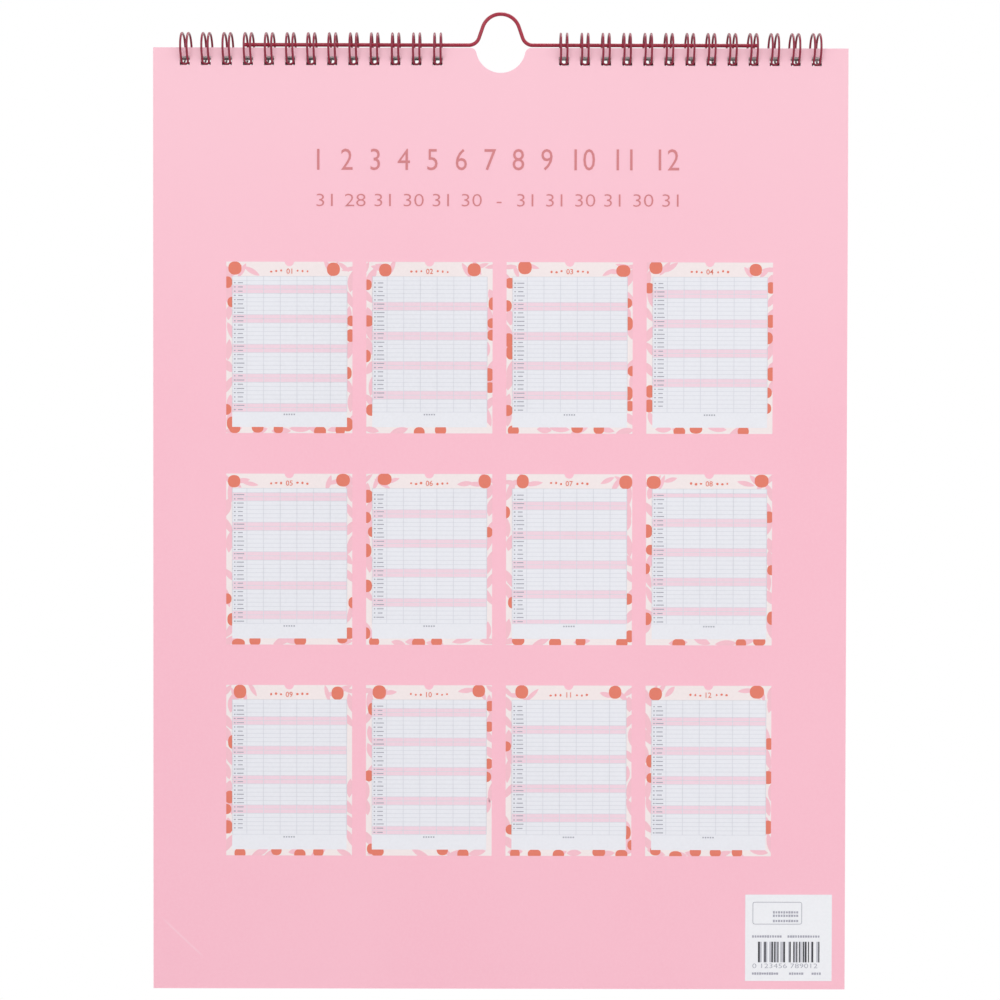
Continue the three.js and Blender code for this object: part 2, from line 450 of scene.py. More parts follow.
def new_tree(name, inputs):
    """A geometry node tree with inputs named by their kind, and its input node's sockets."""
    tree = bpy.data.node_groups.new(name, "GeometryNodeTree")
    tree.interface.new_socket("Geometry", in_out="OUTPUT", socket_type="NodeSocketGeometry")
    for kind, labels in {"Geometry": ["Geometry"], **inputs, "Material": ["Material"]}.items():
        for label in labels:
            tree.interface.new_socket(label, in_out="INPUT", socket_type=f"NodeSocket{kind}")
    return tree, add_node(tree, "NodeGroupInput").outputs


def row_of_points(tree, given):
    """Points in a row: the first one, and each next one a step further."""
    inputs = {"Count": given["Count"], "Start Location": given["First"], "Offset": given["Step"]}
    return result(tree, "GeometryNodeMeshLine", inputs)


def random_value(tree, kind, seed, *limits):
    """The socket of a random value between two limits, or of a yes that comes at a share."""
    places, output = RANDOM_SOCKETS[kind]
    inputs = {"Seed": seed, **dict(zip(places, limits))}
    return add_node(tree, "FunctionNodeRandomValue", inputs, data_type=kind).outputs[output]


def shifted(tree, points, reach, seed):
    """Points moved at random, by no more than a reach along each axis."""
    back = vector_calculated(tree, "MULTIPLY", reach, (-1, -1, -1))
    shift = random_value(tree, "FLOAT_VECTOR", seed, back, reach)
    return result(tree, "GeometryNodeSetPosition", {"Geometry": points, "Offset": shift})


def finish_tree(tree, given, geometry):
    """Ends a tree in real geometry with its material."""
    real = result(tree, "GeometryNodeRealizeInstances", {"Geometry": geometry})
    inputs = {"Geometry": real, "Material": given["Material"]}
    dressed = result(tree, "GeometryNodeSetMaterial", inputs)
    add_node(tree, "NodeGroupOutput", {"Geometry": dressed})
    return tree


def tree_called(name, make):
    """The tree of that name, made the first time it is asked for."""
    return bpy.data.node_groups.get(name) or make()


def grown(tree, start, values):
    """The plain mesh that a tree makes from a starting mesh and values for its inputs."""
    carrier = in_scene("carrier", start)
    modifier = carrier.modifiers.new("tree", "NODES")
    modifier.node_group = tree
    for socket in tree.interface.items_tree:
        if socket.in_out == "INPUT" and socket.name in values:
            modifier[socket.identifier] = values[socket.name]
    return used_up(carrier)


def wire_run_tree():
    """One centre line repeated in a row, joined end to end and made into round wire."""
    tree, given = new_tree(
        "Wire run",
        {"Int": ["Count", "Sides"], "Vector": ["First", "Step"], "Float": ["Radius", "End Trim"]},
    )
    row = {"Points": row_of_points(tree, given), "Instance": given["Geometry"]}
    copies = result(tree, "GeometryNodeInstanceOnPoints", row)
    real = result(tree, "GeometryNodeRealizeInstances", {"Geometry": copies})
    whole = result(tree, "GeometryNodeMergeByDistance", {"Geometry": real, "Distance": SAME_END})
    line = result(tree, "GeometryNodeMeshToCurve", {"Mesh": whole})
    length = result(tree, "GeometryNodeCurveLength", {"Curve": line})
    end = calculated(tree, "SUBTRACT", length, given["End Trim"])
    ends = {"Curve": line, TRIM_START: given["End Trim"], TRIM_END: end}
    cut = result(tree, "GeometryNodeTrimCurve", ends, mode="LENGTH")
    round_wire = {"Resolution": given["Sides"], "Radius": given["Radius"]}
    ring = result(tree, "GeometryNodeCurvePrimitiveCircle", round_wire)
    along = {"Curve": cut, "Profile Curve": ring, "Fill Caps": True}
    tube = result(tree, "GeometryNodeCurveToMesh", along)
    smooth = result(tree, "GeometryNodeSetShadeSmooth", {"Geometry": tube})
    return finish_tree(tree, given, smooth)


def leaf_stack_tree():
    """One leaf repeated through a block, each a little more turned about its holes."""
    tree, given = new_tree(
        "Leaf stack",
        {"Int": ["Count", "Seed"], "Vector": ["First", "Step", "Sway"], "Float": ["Lean"]},
    )
    row = row_of_points(tree, given)
    index = result(tree, "GeometryNodeInputIndex")
    lean = calculated(tree, "MULTIPLY", index, given["Lean"])
    leaves = {
        "Points": shifted(tree, row, given["Sway"], given["Seed"]),
        "Instance": given["Geometry"],
        "Rotation": result(tree, "ShaderNodeCombineXYZ", {"X": lean}),
    }
    return finish_tree(tree, given, result(tree, "GeometryNodeInstanceOnPoints", leaves))


def mark_row_tree():
    """A mark repeated in a row, with sizes, places and turns that vary by a fixed seed."""
    tree, given = new_tree(
        "Mark row",
        {
            "Int": ["Count", "Seed"],
            "Vector": ["First", "Step", "Least Size", "Greatest Size", "Shift"],
            "Float": ["Least Turn", "Greatest Turn", "Kept"],
        },
    )
    seed = given["Seed"]
    next_seed = calculated(tree, "ADD", seed, 101)
    turn = random_value(tree, "FLOAT", seed, given["Least Turn"], given["Greatest Turn"])
    sizes = (given["Least Size"], given["Greatest Size"])
    marks = {
        "Points": shifted(tree, row_of_points(tree, given), given["Shift"], seed),
        "Selection": random_value(tree, "BOOLEAN", next_seed, given["Kept"]),
        "Instance": given["Geometry"],
        "Rotation": result(tree, "ShaderNodeCombineXYZ", {"Z": turn}),
        "Scale": random_value(tree, "FLOAT_VECTOR", next_seed, *sizes),
    }
    return finish_tree(tree, given, result(tree, "GeometryNodeInstanceOnPoints", marks))


# ---------------------------------------------------------------- sizes and colours


def length_prop(name, about, value):
    """A setting that holds a length, its default in millimetres."""
    return FloatProperty(name=name, description=about, default=value * MM, unit="LENGTH")


def count_prop(name, about, value, least=1):
    """A setting that holds a whole number."""
    return IntProperty(name=name, description=about, default=value, min=least)


def angle_prop(name, about, value):
    """A setting that holds an angle, its default in radians."""
    return FloatProperty(name=name, description=about, default=value, subtype="ANGLE")


def power_prop(name, about, value):
    """A setting that holds a lamp's power, its default in watts."""
    return FloatProperty(name=name, description=about, default=value, subtype="POWER")


def colour_prop(name, about, code):
    """A setting that holds a colour, its default as a six-figure sRGB code."""
    return FloatVectorProperty(
        name=name, description=about, default=linear(code), subtype="COLOR"
    )


class SheetSettings(bpy.types.PropertyGroup):
    """The covers and the leaves"""

    notch_radius: length_prop("Notch radius", "Thumb notch", 10)
    notch_corner: length_prop("Notch corner", "Rounding where the notch meets the top edge", 2.5)
    hole_width: length_prop("Hole width", "Punched hole, across", 4)
    hole_top: length_prop("Hole top", "From the sheet's top edge down to the hole", 3.52)
    hole_bottom: length_prop("Hole bottom", "From the sheet's top edge to the hole's lower edge", 7.05)
    leaves: count_prop("Leaves", "Month leaves in the block", 12, least=2)
    leaf_thickness: length_prop("Leaf thickness", "Thickness of one leaf", 0.24)
    spread: length_prop("Spread", "How far the last leaf hangs back at its foot", 1.7)
    pink: colour_prop("Card", "Printed side of the covers", "F7BECD")
    deep_pink: colour_prop("Deep card", "Cloudy tone in the card", "F6BACA")
    # Painted light: the paler pink painted on the card's top, as if more light fell there
    pale_pink: colour_prop("Pale card", "Card near the loops", "F7C5D2")
    crease: colour_prop("Crease", "Worn crease in the card", "FBE7EC")
    plain: colour_prop("Card inside", "Inner side and edge of the covers", "F7EDEF")
    paper: colour_prop("Paper", "Leaves", "F4F2F1")


class WireSettings(bpy.types.PropertyGroup):
    """The twin-loop wire and the hanger"""

    pitch: length_prop("Pitch", "From one double loop to the next", 25.4 / 3)
    first: count_prop("First loop", "First loop's place, counted in pitches from the middle", 3)
    last: count_prop("Last loop", "Last loop's place, counted in pitches from the middle", 15)
    diameter: length_prop("Wire diameter", "Twin-loop wire", 0.9)
    loop_radius: length_prop("Loop radius", "Round of a loop, to the wire's centre", 6.1)
    leg_spacing: length_prop("Leg spacing", "Between the two legs of a double loop", 2.55)
    root_bend: length_prop("Root bend", "Bend where a leg leaves the seam", 0.8)
    stub: length_prop("End stub", "Straight end past the last bend", 1.2)
    seam_back: length_prop("Seam", "From the loops' axis back to the seam", 1.05)
    tip_back: length_prop("Tips", "From the loops' axis back to the loops' tips", 2.05)
    tail_angle: angle_prop("Tail angle", "Where a loop leaves its round for its tip", math.radians(46))
    hanger_diameter: length_prop("Hanger diameter", "Hanger wire", 1.5)
    hump_height: length_prop("Hump height", "Hanger's hump over its straight wire", 12.5)
    hump_top: length_prop("Hump top radius", "Round of the hump's top", 7.7)
    hump_foot: length_prop("Hump foot radius", "Round of the hump's feet", 4.3)
    hump_lean: angle_prop("Hump lean", "How far its sides lean from upright", math.radians(19))
    hanger_coat: colour_prop("Hanger coat", "Coat of the hanger", "AC2840")
    loop_coat: colour_prop("Loop coat", "Coat of the twin-loop wire", "94243E")


class PrintSettings(bpy.types.PropertyGroup):
    """The print on the back cover and the first leaf"""

    rule_width: length_prop("Rule", "Ruled line's width on a small page", 0.2)
    columns: count_prop("Columns", "Columns for the family's names", 6)
    rows: count_prop("Rows", "Ruled rows, the heading row with them", 32, least=2)
    title_height: length_prop("Title figures", "Height of the month numbers", 8.6)
    title_width: length_prop("Title width", "Length of both number rows", 145.6)
    small_height: length_prop("Small figures", "Height of the day counts", 5.0)
    seed: count_prop("Seed", "Seed of the border's layout", 7, least=0)
    cream: colour_prop("Cream", "Border's ground", "F2E7E7")
    rose: colour_prop("Rose", "Number rows", "D38488")
    coral: colour_prop("Coral", "Border's pebbles and the figures", "E27C68")
    blush: colour_prop("Blush", "Border's leaves", "F3BFCB")
    field: colour_prop("Field", "Ruled field", "E9EAF0")
    tint: colour_prop("Weekend", "Weekend rows", "EFD3DF")
    rule: colour_prop("Rule", "Ruled lines", "D9DAE2")
    mark: colour_prop("Mark", "Day marks", "A6A6B2")
    label: colour_prop("Label", "Label field", "EEEFF3")
    black: colour_prop("Black", "Bars and figures on the label", "3C3C42")
    shade: colour_prop("Shade", "Pale bars on the label", "BEBFC7")


class StudioSettings(bpy.types.PropertyGroup):
    """The camera, the lamps and the floor"""

    distance: length_prop("Camera distance", "From the hanger's plane", 730)
    height: length_prop("Camera height", "Over the middle of the sheets", 17.1)
    tilt: angle_prop("Camera tilt", "Below level", 0.0125)
    roll: angle_prop("Camera roll", "About its own line of sight", 0.0019)
    lens: FloatProperty(name="Lens", description="Focal length in millimetres", default=65.0)
    key: power_prop("Key lamp", "Power of the large lamp", 6.5)
    fill: power_prop("Fill lamp", "Power of the lamp on the other side", 7.9)
    top: power_prop("Top lamp", "Power of the lamp overhead", 3.6)
    ambient: FloatProperty(name="Ambient", description="Light from all around", default=0.62)
    floor_drop: length_prop("Floor drop", "From the sheets' foot to the floor", 120)
    floor_near: length_prop("Fade start", "Where the floor starts to fade to white", 200)
    floor_far: length_prop("Fade end", "Where the floor is all white", 400)


# ---------------------------------------------------------------- sheets

NOTCH_STEPS, SMALL_NOTCH_STEPS = 48, 16
LEAF_SWAY = (0.15 * MM, 0, 0.1 * MM)
LEAF_SEED = 3


def loop_places(wires, side):
    """The x of every double loop on one side, from left to right."""
    places = [side * place * wires.pitch for place in range(wires.first, wires.last + 1)]
    return sorted(places)


def notched_outline(width, height, radius, corner, steps):
    """A sheet's outline from its top edge down, with the thumb notch in the middle."""
    reach = radius + corner
    corner_x = math.sqrt(reach**2 - corner**2)
    turn = math.asin(corner / reach)
    corner_steps = max(steps // 6, 2)
    return [
        (-width / 2, -height),
        (width / 2, -height),
        (width / 2, 0),
        *arc(corner_x, -corner, corner, QUARTER_TURN, math.pi - turn, corner_steps),
        *arc(0, 0, radius, -turn, turn - math.pi, steps)[1:-1],
        *arc(-corner_x, -corner, corner, turn, QUARTER_TURN, corner_steps),
        (-width / 2, 0),
    ]


def punched_sheet(name, sheets, wires, thickness):
    """A whole sheet with its notch and holes, its back on the drawing plane."""
    notch = (sheets.notch_radius, sheets.notch_corner, NOTCH_STEPS)
    outline = notched_outline(SHEET_WIDTH, SHEET_HEIGHT, *notch)
    half = sheets.hole_width / 2
    top, bottom = -sheets.hole_top, -sheets.hole_bottom
    holes = [
        [(x - half, top), (x - half, bottom), (x + half, bottom), (x + half, top)]
        for side in (-1, 1)
        for x in loop_places(wires, side)
    ]
    return flat_solid(name, [outline, *holes], 0, thickness)


class PLANNER_OT_covers(bpy.types.Operator):
    """Make the two card covers, pink outside and plain inside"""

    bl_idname = "planner.covers"
    bl_label = "Covers"

    def execute(self, context):
        sheets = context.scene.planner_sheets
        wires = context.scene.planner_wires
        tones = (sheets.pink, sheets.deep_pink, sheets.pale_pink, sheets.crease)
        pink = material_called("Pink card", card_material, *tones)
        plain = material_called("Card inside", paper_material, sheets.plain)
        for name, node, front, inner_y in (
            ("card_back", "back_cover", False, BACK_HIGH.y),
            ("card_front", "front_cover", True, FRONT_LOW.y),
        ):
            mesh = punched_sheet(name, sheets, wires, CARD)
            made = piece(name, mesh, pink, node, "cover_card", [node])
            mesh.materials.append(plain)
            for face in mesh.polygons:
                face.material_index = 0 if face.normal.z > 0.5 else 1
            mesh.transform(facing(front, 0, inner_y, SHEET_TOP))
            made.data.update()
        return {"FINISHED"}


class PLANNER_OT_leaves(bpy.types.Operator):
    """Make the twelve month leaves, hanging a little apart at their feet"""

    bl_idname = "planner.leaves"
    bl_label = "Leaves"

    def execute(self, context):
        sheets = context.scene.planner_sheets
        wires = context.scene.planner_wires
        paper = material_called("Page paper", paper_material, sheets.paper)
        leaf = punched_sheet("leaf", sheets, wires, sheets.leaf_thickness)
        hole_line = (sheets.hole_top + sheets.hole_bottom) / 2
        leaf.transform(facing(True, 0, -sheets.leaf_thickness, hole_line))
        depth = PAGES_HIGH.y - PAGES_LOW.y - sheets.leaf_thickness
        gaps = sheets.leaves - 1
        values = {
            "Count": sheets.leaves,
            "First": (0, PAGES_HIGH.y, SHEET_TOP - hole_line),
            "Step": (0, -depth / gaps, 0),
            "Lean": -math.atan(sheets.spread / SHEET_HEIGHT) / gaps,
            "Sway": LEAF_SWAY,
            "Seed": LEAF_SEED,
            "Material": paper,
        }
        mesh = grown(tree_called("Leaf stack", leaf_stack_tree), leaf, values)
        piece("month_leaves", mesh, paper, "pages", "page_paper", ["page_block"])
        return {"FINISHED"}


# ---------------------------------------------------------------- wires

BEND_STEPS, LEG_STEPS = 6, 40
FOOT_STEPS, CROWN_STEPS = 14, 20
LOOP_WIRE_SIDES, HANGER_WIRE_SIDES = 12, 20


def double_loop(wires):
    """One double loop's centre line, from seam to seam, about the loops' axis."""
    seam, tip = -wires.seam_back, -wires.tip_back
    root_angle = math.asin(seam / wires.loop_radius)
    tail_start = 2 * math.pi - wires.tail_angle
    round_length = wires.loop_radius * (tail_start - root_angle)
    tail = (tip - wires.loop_radius * math.sin(tail_start)) / math.cos(tail_start)
    half, bend = wires.leg_spacing / 2, wires.root_bend
    leg_end = round_length + tail - half

    def on_loop(x, length):
        angle = root_angle + min(length, round_length) / wires.loop_radius
        past = max(length - round_length, 0)
        return Vector((
            x,
            wires.loop_radius * math.sin(angle) + past * math.cos(angle),
            -wires.loop_radius * math.cos(angle) + past * math.sin(angle),
        ))

    flat = [(wires.pitch / 2, 0)]
    for step in range(BEND_STEPS):
        turn = QUARTER_TURN * step / BEND_STEPS
        flat.append((half + bend * (1 - math.sin(turn)), bend * (1 - math.cos(turn))))
    for step in range(LEG_STEPS + 1):
        flat.append((half, bend + (leg_end - bend) * step / LEG_STEPS))
    for step in range(1, BEND_STEPS + 1):
        turn = QUARTER_TURN * step / BEND_STEPS
        flat.append((half * math.cos(turn), leg_end + half * math.sin(turn)))
    up = [on_loop(-x, length) for x, length in flat]
    down = [on_loop(x, length) for x, length in reversed(flat[:-1])]
    return up + down


class PLANNER_OT_binding(bpy.types.Operator):
    """Make both runs of twin-loop wire"""

    bl_idname = "planner.binding"
    bl_label = "Twin-loop wire"

    def execute(self, context):
        wires = context.scene.planner_wires
        coat = material_called("Coated loop wire", wire_material, wires.loop_coat)
        root_end = wires.leg_spacing / 2 + wires.root_bend + wires.stub
        for side, name, node in (
            (-1, "twin_loops_left", "wire_binding_left"),
            (1, "twin_loops_right", "wire_binding_right"),
        ):
            places = loop_places(wires, side)
            values = {
                "Count": len(places),
                "First": (places[0], LOOP_AXIS.y, LOOP_AXIS.z),
                "Step": (wires.pitch, 0, 0),
                "Radius": wires.diameter / 2,
                "Sides": LOOP_WIRE_SIDES,
                "End Trim": wires.pitch / 2 - root_end,
                "Material": coat,
            }
            line = chain("double_loop", double_loop(wires))
            mesh = grown(tree_called("Wire run", wire_run_tree), line, values)
            piece(name, mesh, coat, "pages", "coated_wire", [node])
        return {"FINISHED"}


def hanger_line(wires):
    """The hanger's centre line from end to end, its straight wire on the X axis."""
    lean, top, foot = wires.hump_lean, wires.hump_top, wires.hump_foot
    top_centre = wires.hump_height - top
    flank_top = top_centre + top * math.sin(lean)
    flank_foot = foot * (1 - math.sin(lean))
    flank_run = (flank_top - flank_foot) * math.tan(lean)
    foot_centre = top * math.cos(lean) + flank_run + foot * math.cos(lean)
    ends = arc(foot_centre, foot, foot, -QUARTER_TURN, -math.pi + lean, FOOT_STEPS)
    crown = arc(0, top_centre, top, lean, QUARTER_TURN, CROWN_STEPS)
    half = [(HANGER_HIGH.x, 0), *ends, *crown]
    left = [Vector((-x, 0, z)) for x, z in half]
    right = [Vector((x, 0, z)) for x, z in reversed(half[:-1])]
    return left + right


class PLANNER_OT_hanger(bpy.types.Operator):
    """Make the wire hanger with its hump"""

    bl_idname = "planner.hanger"
    bl_label = "Hanger"

    def execute(self, context):
        wires = context.scene.planner_wires
        coat = material_called("Coated hanger wire", wire_material, wires.hanger_coat)
        values = {
            "Count": 1,
            "First": tuple(HANGER_AXIS),
            "Step": (0, 0, 0),
            "Radius": wires.hanger_diameter / 2,
            "Sides": HANGER_WIRE_SIDES,
            "End Trim": 0.0,
            "Material": coat,
        }
        line = chain("hanger_line", hanger_line(wires))
        mesh = grown(tree_called("Wire run", wire_run_tree), line, values)
        piece("hanger_wire", mesh, coat, "hanger", "coated_wire", ["hanger"])
        return {"FINISHED"}


# ---------------------------------------------------------------- print


class Layers:
    """Flat drawings gathered by ink, to become one piece for each ink."""

    def __init__(self):
        self.meshes = {}

    def add(self, ink, mesh, matrix):
        self.meshes.setdefault(ink, []).append(moved(mesh, matrix))

    def finish(self, prefix, inks, body, nodes_of):
        """One piece for each ink, standing for the nodes that the ink covers."""
        for ink, (material, slot) in inks.items():
            if ink in self.meshes:
                mesh = joined(ink, self.meshes[ink])
                piece(f"{prefix}_{ink}", mesh, material, body, slot, nodes_of.get(ink, ()))


def inks_from(rows):
    """Each ink's material and slot, from its name, its material's name, colour and slot."""
    return {
        ink: (material_called(name, paper_material, colour), slot)
        for ink, name, colour, slot in rows
    }


def page_inks(colours):
    """The inks of a month page."""
    return inks_from((
        ("paper", "Cream print", colours.cream, "month_print"),
        ("pebbles", "Coral print", colours.coral, "month_print"),
        ("sprigs", "Blush print", colours.blush, "month_print"),
        ("figures", "Coral print", colours.coral, "month_print"),
        ("fields", "Field print", colours.field, "grid_print"),
        ("weekends", "Weekend print", colours.tint, "grid_print"),
        ("rules", "Rule print", colours.rule, "grid_print"),
        ("marks", "Mark print", colours.mark, "grid_print"),
    ))


def figures(text, height, level, width=None, offset=-0.012):
    """Plain figures, centred on the drawing plane's origin, cut to a height and a width."""
    curve = bpy.data.curves.new("figures", "FONT")
    curve.body = text
    curve.size = 1
    curve.extrude = 0.5
    curve.offset = offset
    curve.resolution_u = 3
    mesh = plain_mesh(curve, 0)
    low = Vector([min(v.co[i] for v in mesh.vertices) for i in range(3)])
    high = Vector([max(v.co[i] for v in mesh.vertices) for i in range(3)])
    size = high - low
    scale_y = height / size.y
    scale_x = width / size.x if width else scale_y
    thickness = (level + 0.5) * INK_STEP
    mesh.transform(Matrix.Translation(-(low + high) / 2))
    mesh.transform(Matrix.Diagonal((scale_x, scale_y, thickness, 1)))
    mesh.transform(Matrix.Translation((0, 0, thickness / 2 - 0.5 * INK_STEP)))
    return mesh


def level_span(level):
    """From just inside the card to the top of an ink step."""
    return -0.5 * INK_STEP, level * INK_STEP


def mark_row(
    mark, count, first, step, least, greatest=None,
    shift=(0, 0), turns=(0, 0), kept=1, uneven=0, seed=0,
):
    """A row of like marks on the drawing plane. Sizes are (width, height)."""
    values = {
        "Count": count,
        "First": (*first, 0),
        "Step": (*step, 0),
        "Least Size": (*least, 1 - uneven),
        "Greatest Size": (*(greatest or least), 1 + uneven),
        "Shift": (*shift, 0),
        "Least Turn": turns[0],
        "Greatest Turn": turns[1],
        "Kept": kept,
        "Seed": seed,
    }
    return grown(tree_called("Mark row", mark_row_tree), mark, values)


class MonthPage:
    """One month page's drawing, at any size: border, ruled field and figures.

    Plain lengths are millimetres on a small page, and grow with the page.
    """

    def __init__(self, number, width, height, colours, matrix, layers, clear_top=0):
        self.number = number
        self.days = DAYS_IN_MONTH[number - 1]
        self.clear_top = clear_top
        self.width = width
        self.height = height
        self.scale = width / SMALL_PAGE_WIDTH
        self.unit = self.scale * MM
        self.colours = colours
        self.matrix = matrix
        self.layers = layers
        self.seed = colours.seed + 10 * number
        self.side_left = MARGIN_LEFT * width
        self.side_right = MARGIN_RIGHT * width
        self.head = HEAD * height
        self.foot = FOOT * height
        self.field_width = width - self.side_left - self.side_right
        self.field_left = self.side_left - width / 2
        self.row = (RULED_END - HEAD) * height / colours.rows
        self.day_column = DAY_COLUMN * width

    def sized(self, *lengths):
        """Lengths on a small page, at this page's own size."""
        return tuple(length * self.unit for length in lengths)

    def draw(self, ink, mesh):
        self.layers.add(ink, mesh, self.matrix)

    def bar(self, ink, level, x, y, width, height):
        """One upright bar by its middle and its size."""
        self.draw(ink, laid(box_plate("bar", *level_span(level)), x, y, width, height))

    def paper(self, notch_radius, notch_corner):
        notch = (notch_radius, notch_corner, SMALL_NOTCH_STEPS)
        outline = notched_outline(self.width, self.height, *notch)
        self.draw("paper", flat_solid("paper", [outline], *level_span(PAPER)))

    def motifs(self, ink, mark, least, greatest, shift, **row):
        """A row of border motifs, cut off at the paper's edges."""
        low = (-self.width / 2, -self.height)
        high = (self.width / 2, -self.clear_top)
        sizes = {
            "least": self.sized(*least),
            "greatest": self.sized(*greatest),
            "shift": self.sized(*shift),
        }
        self.draw(ink, trimmed(mark_row(mark, uneven=0.12, **sizes, **row), low, high))

    def border(self):
        """Coral pebbles and blush leaves along the margins, in a loose regular rhythm."""
        pebble = rounded_plate("pebble", 24, 2.3, *level_span(MOTIF))
        leaf = leaf_plate("leaf", *level_span(MOTIF - 0.5))
        self.side_border(pebble, leaf)
        self.foot_border(pebble, leaf)
        self.head_border(pebble, leaf)

    def side_border(self, pebble, leaf):
        count = 9
        down = (self.height - self.head) / count
        for direction, margin in ((-1, self.side_left), (1, self.side_right)):
            x = direction * (self.width - margin) / 2
            seed = self.seed + direction
            row = {"count": count, "step": (0, -down)}
            first = (x, -self.head - down / 2)
            self.motifs("pebbles", pebble, least=(3.6, 4), greatest=(4.6, 5.6), shift=(1.6, 1.3),
                        first=first, **row, kept=0.4, seed=seed)
            first = (x, -self.head - 0.15 * down)
            self.motifs("sprigs", leaf, least=(6, 7), greatest=(10, 10), shift=(1.1, 1.2),
                        first=first, **row, turns=(0.9, 2.3), kept=0.85, seed=seed + 4)

    def foot_border(self, pebble, leaf):
        count = 6
        across = self.width / count
        first = (across / 2 - self.width / 2, self.foot / 2 - self.height)
        row = {"count": count, "first": first, "step": (across, 0)}
        self.motifs("pebbles", pebble, least=(3.8, 3.6), greatest=(5.4, 4.4), shift=(1.4, 1.2),
                    **row, kept=0.6, seed=self.seed + 3)
        self.motifs("sprigs", leaf, least=(6, 7), greatest=(9, 9), shift=(3, 0.8),
                    **row, turns=(-0.5, 0.5), kept=0.75, seed=self.seed + 8)

    def head_border(self, pebble, leaf):
        for direction in (-1, 1):
            seed = self.seed + 20 + 3 * direction
            x, y = direction * 0.4 * self.width, -0.5 * self.head
            self.motifs("pebbles", pebble, least=(4.8, 4.8), greatest=(5.8, 5.6), shift=(2.6, 0.9),
                        count=1, first=(x, y), step=(0, 0), seed=seed)
            inwards = -direction * 3.2 * self.unit
            leaves = {"count": 4, "first": (x - 1.4 * inwards, y), "step": (inwards, 0)}
            self.motifs("sprigs", leaf, least=(5.6, 5), greatest=(8, 6.4), shift=(0.8, 1.4),
                        **leaves, turns=(-1.3, 1.3), seed=seed + 1)

    def ruled_field(self):
        """The ruled field: weekend rows, lines and the notes space under them."""
        rows, columns = self.colours.rows, self.colours.columns
        left, width, row = self.field_left, self.field_width, self.row
        middle_x = left + width / 2
        height = self.height - self.head - self.foot
        middle_y = self.foot - self.height + height / 2
        self.bar("fields", FIELD, middle_x, middle_y, width, height)
        starts_on = FIRST_DAY_OF_YEAR + sum(DAYS_IN_MONTH[: self.number - 1])
        band = box_plate("band", *level_span(TINT))
        week = (0, -DAYS_IN_WEEK * row)
        for day in (SATURDAY, SUNDAY):
            date = (day - starts_on) % DAYS_IN_WEEK
            count = (self.days - 1 - date) // DAYS_IN_WEEK + 1
            first = (middle_x, -self.head - (date + 1.5) * row)
            self.draw("weekends", mark_row(band, count, first, week, (width, row)))
        rule = box_plate("rule", *level_span(RULE))
        thick = self.colours.rule_width * self.scale**0.5
        top = (middle_x, -self.head)
        self.draw("rules", mark_row(rule, rows + 1, top, (0, -row), (width, thick)))
        column = (width - self.day_column) / columns
        ruled = row * rows
        side = (left + self.day_column, -self.head - ruled / 2)
        upright = (1.25 * thick, ruled)
        self.draw("rules", mark_row(rule, columns + 1, side, (column, 0), upright))
        self.bar("rules", RULE, left + thick / 2, side[1], thick, ruled)

    def day_marks(self):
        """A short and a long dash for each day, and dashes over the notes space."""
        dash = box_plate("dash", *level_span(MARK))
        top = -self.head - 1.5 * self.row
        for indent, least, greatest, seed in (
            (1.05, (0.5, 0.42), (0.8, 0.5), self.seed),
            (3.3, (1.8, 0.34), (3.2, 0.4), self.seed + 1),
        ):
            first = (self.field_left + indent * self.unit, top)
            sizes = (self.sized(*least), self.sized(*greatest))
            marks = mark_row(dash, self.days, first, (0, -self.row), *sizes, seed=seed)
            self.draw("marks", marks)
        notes = (-2 * self.unit, -self.head - (self.colours.rows + 0.6) * self.row)
        step = (1.0 * self.unit, 0)
        self.draw("marks", mark_row(dash, 5, notes, step, self.sized(0.55, 0.55)))

    def heading(self):
        """The month's number between small dots."""
        y = -0.64 * self.head
        number = figures(f"{self.number:02d}", 2.1 * self.unit, MARK, offset=0.004)
        self.draw("figures", laid(number, 0, y))
        dot = rounded_plate("dot", 12, 2, *level_span(MARK))
        for direction in (-1, 1):
            first = (direction * 3.3 * self.unit, y)
            step = (direction * 2 * self.unit, 0)
            sizes = (self.sized(0.7, 0.7), self.sized(1.1, 1.1))
            dots = mark_row(dot, 3, first, step, *sizes, shift=self.sized(0, 0.3),
                            seed=self.seed + direction)
            self.draw("figures", dots)


class PLANNER_OT_month_pages(bpy.types.Operator):
    """Print the twelve small month pages on the back cover"""

    bl_idname = "planner.month_pages"
    bl_label = "Small month pages"

    def execute(self, context):
        sheets = context.scene.planner_sheets
        colours = context.scene.planner_print
        layers = Layers()
        for number in MONTH_NUMBERS:
            low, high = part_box(f"month_field_{number:02d}")
            width = high.x - low.x
            shrink = width / SHEET_WIDTH
            matrix = facing(False, (low.x + high.x) / 2, BACK_LOW.y, high.z)
            page = MonthPage(number, width, high.z - low.z, colours, matrix, layers)
            page.paper(sheets.notch_radius * shrink, sheets.notch_corner * shrink)
            page.border()
            page.ruled_field()
            page.day_marks()
            page.heading()
        nodes = {
            "paper": [f"month_field_{number:02d}" for number in MONTH_NUMBERS],
            "fields": [f"grid_field_{number:02d}" for number in MONTH_NUMBERS],
        }
        layers.finish("months", page_inks(colours), "back_cover", nodes)
        return {"FINISHED"}


class PLANNER_OT_first_leaf(bpy.types.Operator):
    """Print the first month on the front of the first leaf"""

    bl_idname = "planner.first_leaf"
    bl_label = "First leaf's print"

    def execute(self, context):
        sheets = context.scene.planner_sheets
        colours = context.scene.planner_print
        layers = Layers()
        matrix = facing(True, 0, PAGES_HIGH.y, SHEET_TOP)
        clear_top = sheets.hole_bottom + 1.5 * MM
        page = MonthPage(1, SHEET_WIDTH, SHEET_HEIGHT, colours, matrix, layers, clear_top)
        page.ruled_field()
        page.day_marks()
        page.heading()
        page.border()
        layers.finish("first_leaf", page_inks(colours), "pages", {})
        return {"FINISHED"}


